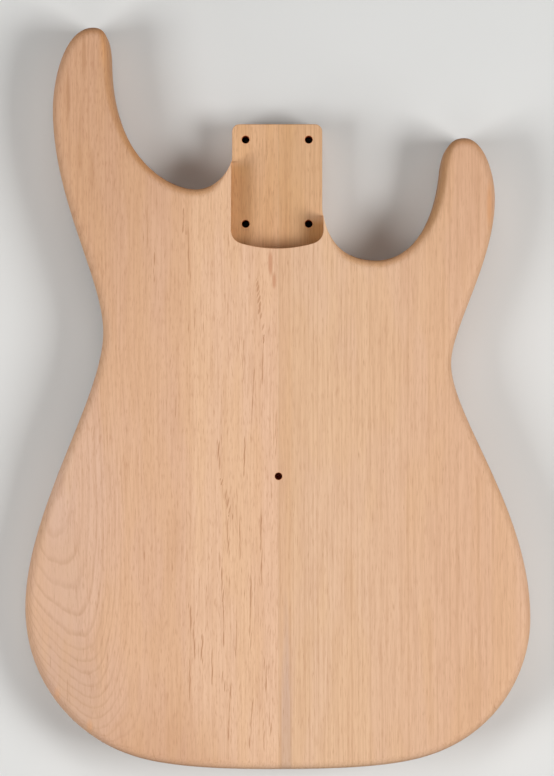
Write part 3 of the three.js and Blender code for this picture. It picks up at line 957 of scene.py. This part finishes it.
# What both boards share. waviness is how far the fibres stray, in millimetres, and horn is the
# stretch along the body over which they come to their strength on the horn.
bareAlder = {
    "warmTone": paint(255, 254, 248), "waviness": (2.5, 0, 2.5), "horn": (40, 140),
    "roughness": 0.52, "unevenness": 0.2, "specular": 0.25, "bump": 0.1, "relief": 0.0001,
}
glueLook = {
    "clear": paint(205, 163, 126), "cloudy": paint(218, 180, 146), "roughness": 0.45,
    "unevenness": 0.1,
}


# An empty material, with the place on the piece in millimetres
def newMaterial(name):
    material = bpy.data.materials.new(name)
    material.use_nodes = True
    tree = material.node_tree
    inMetres = addNode(tree, "TexCoord", {}, {})["Object"]
    place = stretched(inMetres, (1 / millimetre,) * 3)
    return material, tree, tree.nodes["Principled BSDF"].inputs, place


# Bare sanded alder: the board's own tone, stains and patches of painted shade, then rings,
# fibres, pores and flecks laid over it, then the routed pocket with painted shade at the foot of
# its walls, the end grain, painted shade on the rims that look to the neck and on the horns'
# inner edges, and the drilled holes
def alder(name, look):
    material, tree, surface, place = newMaterial(name)
    axes = axesOf(place)
    wavy = noise(place, "wavy", "Color")
    wavy = addNode(tree, "VectorMath", {"operation": "MULTIPLY_ADD"}, {
        0: wavy, 1: bareAlder["waviness"], 2: place})[0]
    rings = useGroup(tree, effects["rings"], {"Place": place, **look["rings"]})
    fibres = useGroup(tree, effects["fibres"], {"Place": wavy, **look["fibres"]})
    flecks = useGroup(tree, effects["flecks"], {"Place": place, **look["flecks"]})["Mark"]
    turn = between(axes[0], look["from"], look["to"])
    tone = mixed(turn, look["outer"], look["inner"])
    ragged = noise(place, "ragged")
    for stainAndShadeTone, strength, *shape in look["stains"]:
        inputs = {"Place": place, "Rough": ragged, **dict(zip(stainAndShadeShape, shape))}
        mask = useGroup(tree, effects["stain"], inputs)["Mask"]
        tone = mixed(mask * strength, tone, stainAndShadeTone)
    warmth = between(noise(place, "warmth"), 0.4, 0.6)
    tone = mixed(warmth, tone, bareAlder["warmTone"], "MULTIPLY")
    beside = between(axes[0], look["figureEdge"][1], look["figureEdge"][0])
    sunk = between(axes[2], bodyPlan["thickness"] - 1, bodyPlan["thickness"] - 4)
    upward = between(facingOf(tree)[2], 0.7, 0.95)
    onHorn = beside * between(axes[1], *bareAlder["horn"])
    clear = between(sunk * beside * upward, 0, 1, 1, look["carvedShare"])
    clear = clear * between(onHorn, 0, 1, 1, look["hornShare"])
    lineStrength = between(
        axes[0], *look["figureEdge"], look["lineStrength"], look["farLineStrength"])
    marks = flecks * look["fleckStrength"]
    if look["rowStrength"]:
        rows = useGroup(tree, effects["fleckRows"], {"Place": place})["Mark"]
        marks = calc("MAXIMUM", marks, rows * look["rowStrength"])
    for mask, shade in (
            (between(rings["Season"], 0.35, 0.7, 0, look["seasonStrength"]), look["seasonTone"]),
            (rings["Line"] * lineStrength, look["lineTone"]),
            (between(fibres["Grain"], 0.35, 0.75, 0, look["fibreStrength"]) * clear,
             look["fibreTone"]),
            (between(fibres["Pores"], 0.5, 0.8, 0, look["poreStrength"]) * clear,
             look["fibreTone"]),
            (marks, look["fleckTone"])):
        tone = mixed(mask, tone, shade)
    routed = useGroup(tree, effects["routed"], {"Place": place})
    ends = useGroup(tree, effects["endGrainAndShade"], {})
    burnished = useGroup(tree, effects["burnished"], {"Place": place, "Side": look["side"]})
    for mask, shade in (
            (routed["Mask"] * routedAndShadeLook["strength"], routedAndShadeLook["tone"]),
            # painted shade at the foot of the pocket's walls and in its corner
            (routed["Left Foot"], routedAndShadeLook["leftFoot"]),
            (routed["Right Foot"], routedAndShadeLook["rightFoot"]),
            (routed["Corner"], routedAndShadeLook["corner"]),
            # painted shade on the rims that look to the neck, then the end grain's own tone
            (ends["Neckward"], endGrainAndShadeLook["neckwardTone"]), (ends["Wall"], endGrainAndShadeLook["wallTone"]),
            # painted shade on the horns' inner edges
            (burnished["Mask"], look["burnishedTone"])):
        tone = mixed(mask, tone, shade, "MULTIPLY")
    drilled = useGroup(tree, effects["drilled"], {"Place": place})["Mask"]
    mixed(drilled, tone, drilledTone).feed(surface["Base Color"])
    rough = fibres["Pores"] * bareAlder["unevenness"] + bareAlder["roughness"]
    rough.feed(surface["Roughness"])
    surface["Specular IOR Level"].default_value = bareAlder["specular"]
    bump = addNode(tree, "Bump", {}, {
        "Strength": bareAlder["bump"], "Distance": bareAlder["relief"],
        "Height": fibres["Pores"] + fibres["Grain"]})
    bump["Normal"].feed(surface["Normal"])
    return material


# Cured glue, sanded flush: a little darker and smoother than the wood, cloudy along its length
def curedGlue():
    material, tree, surface, place = newMaterial("curedGlue")
    cloud = noise(place, "cloud")
    tone = mixed(between(cloud, 0.3, 0.7), glueLook["clear"], glueLook["cloudy"])
    routed = useGroup(tree, effects["routed"], {"Place": place})["Mask"]
    tone = mixed(routed * routedAndShadeLook["strength"], tone, routedAndShadeLook["tone"], "MULTIPLY")
    drilled = useGroup(tree, effects["drilled"], {"Place": place})["Mask"]
    mixed(drilled, tone, drilledTone).feed(surface["Base Color"])
    rough = cloud * glueLook["unevenness"] + glueLook["roughness"]
    rough.feed(surface["Roughness"])
    return material


bassBoard.data.materials.append(alder("bassBoardAlder", bassBoardLook))
trebleBoard.data.materials.append(alder("trebleBoardAlder", trebleBoardLook))
glueLine.data.materials.append(curedGlue())
print("materials: bare alder on both boards, cured glue between them")


studio = {
    "floorTone": paint(226, 226, 224), "floorReach": 4, "floorRoughness": 0.9,
    "floorBounce": 0.25,                # what the floor gives back to the wood
    "backdrop": 0.8,
    "ambient": 0.04,
    # where each soft box stands, in degrees round the body from +X and above the floor, its
    # distance and size, and its share of the light on the flat front
    "boxes": [
        (192, 47, 2, 0.8, 0.305),
        (352, 48, 2, 0.8, 0.44),
        (270, 61, 2.2, 0.9, 0.055),
        (90, 55, 2.2, 0.8, 0.09),
        (205, 20, 2, 0.6, 0.045),
        (335, 20, 2, 0.6, 0.042),
    ],
}


# 1 where the camera, or a reflection or a see-through ray of it, looks straight at the stage
def isLookedAt(tree):
    rays = addNode(tree, "LightPath", {}, {})
    shown = rays["Is Camera Ray"] + rays["Is Glossy Ray"]
    return calc("MINIMUM", 1, shown + rays["Is Transmission Ray"])


def plainFloor():
    mesh = bpy.data.meshes.new("floor")
    far = studio["floorReach"]
    corners = [(-far, -far, 0), (far, -far, 0), (far, far, 0), (-far, far, 0)]
    mesh.from_pydata(corners, [], [(0, 1, 2, 3)])
    floor = placed("floor", mesh)
    material = bpy.data.materials.new("paleFloor")
    material.use_nodes = True
    tree = material.node_tree
    shader = tree.nodes["Principled BSDF"]
    bounce = (studio["floorBounce"],) * 3 + (1,)
    tone = mixed(isLookedAt(tree), bounce, studio["floorTone"])
    tone.feed(shader.inputs["Base Color"])
    shader.inputs["Roughness"].default_value = studio["floorRoughness"]
    shader.inputs["Specular IOR Level"].default_value = 0
    mesh.materials.append(material)


# A soft box that faces the body from distance d and height angle h lights the flat front by
# power * sin(h) / (pi d)^2 of a colour as it is written.
def studioLight():
    world = bpy.data.worlds.new("studio")
    world.use_nodes = True
    tree = world.node_tree
    strength = between(isLookedAt(tree), 0, 1, studio["ambient"], studio["backdrop"])
    tree.nodes["Background"].inputs["Color"].default_value = (1, 1, 1, 1)
    strength.feed(tree.nodes["Background"].inputs["Strength"])
    bpy.context.scene.world = world
    for around, above, distance, size, share in studio["boxes"]:
        turn, rise = np.radians(around), np.radians(above)
        light = bpy.data.lights.new("softBox", "AREA")
        light.shape = "SQUARE"
        light.size = size
        light.energy = share * (np.pi * distance) ** 2 / np.sin(rise)
        level = np.cos(rise)
        place = Vector((level * np.cos(turn), level * np.sin(turn), np.sin(rise))) * distance
        lamp = placed("softBox", light)
        lamp.location = place
        lamp.rotation_euler = (-place).to_track_quat("-Z", "Y").to_euler()


# viewHeight is what the picture takes in at the height of the front face
camera = {
    "across": -0.0001, "along": 0.0062, "height": 2.265, "viewHeight": 0.4648, "sensor": 36,
    "farthest": 20,
}


def photoCamera():
    lens = bpy.data.cameras.new("camera")
    lens.sensor_fit = "VERTICAL"
    lens.sensor_height = camera["sensor"]
    distance = camera["height"] - bodyPlan["thickness"] * millimetre
    lens.lens = lens.sensor_height * distance / camera["viewHeight"]
    lens.clip_end = camera["farthest"]
    eye = placed("camera", lens)
    eye.location = (camera["across"], camera["along"], camera["height"])
    bpy.context.scene.camera = eye


plainFloor()
studioLight()
photoCamera()
bpy.context.scene.view_settings.view_transform = "Standard"
print("stage: floor, soft boxes and camera")
